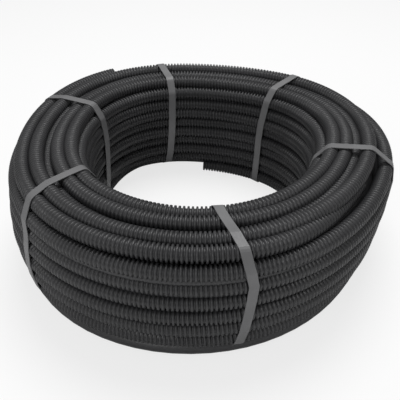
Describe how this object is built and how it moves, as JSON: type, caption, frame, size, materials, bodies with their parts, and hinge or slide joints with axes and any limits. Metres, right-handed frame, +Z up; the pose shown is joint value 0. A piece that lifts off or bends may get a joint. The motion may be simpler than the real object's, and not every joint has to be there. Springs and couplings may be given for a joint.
{
  "type": "coil of corrugated conduit",
  "caption": "Strapped coil of flexible corrugated plastic conduit that protects electrical cables, with both cut ends open.",
  "frame": {"origin": "on the floor, in the middle of the coil", "axes": "+Z up along the coil's axis, -Y towards the viewer in front, +X to the viewer's right"},
  "size_m": [0.4301, 0.4302, 0.1474],
  "materials": {
    "conduit_plastic": "satin black polypropylene",
    "strap_plastic": "dull dark grey polypropylene band"
  },
  "bodies": {
    "root": {"conduit": "conduit_plastic", "strap_front": "strap_plastic", "strap_front_left": "strap_plastic", "strap_rear_left": "strap_plastic", "strap_rear": "strap_plastic", "strap_rear_right": "strap_plastic", "strap_right": "strap_plastic"}
  },
  "joints": []
}
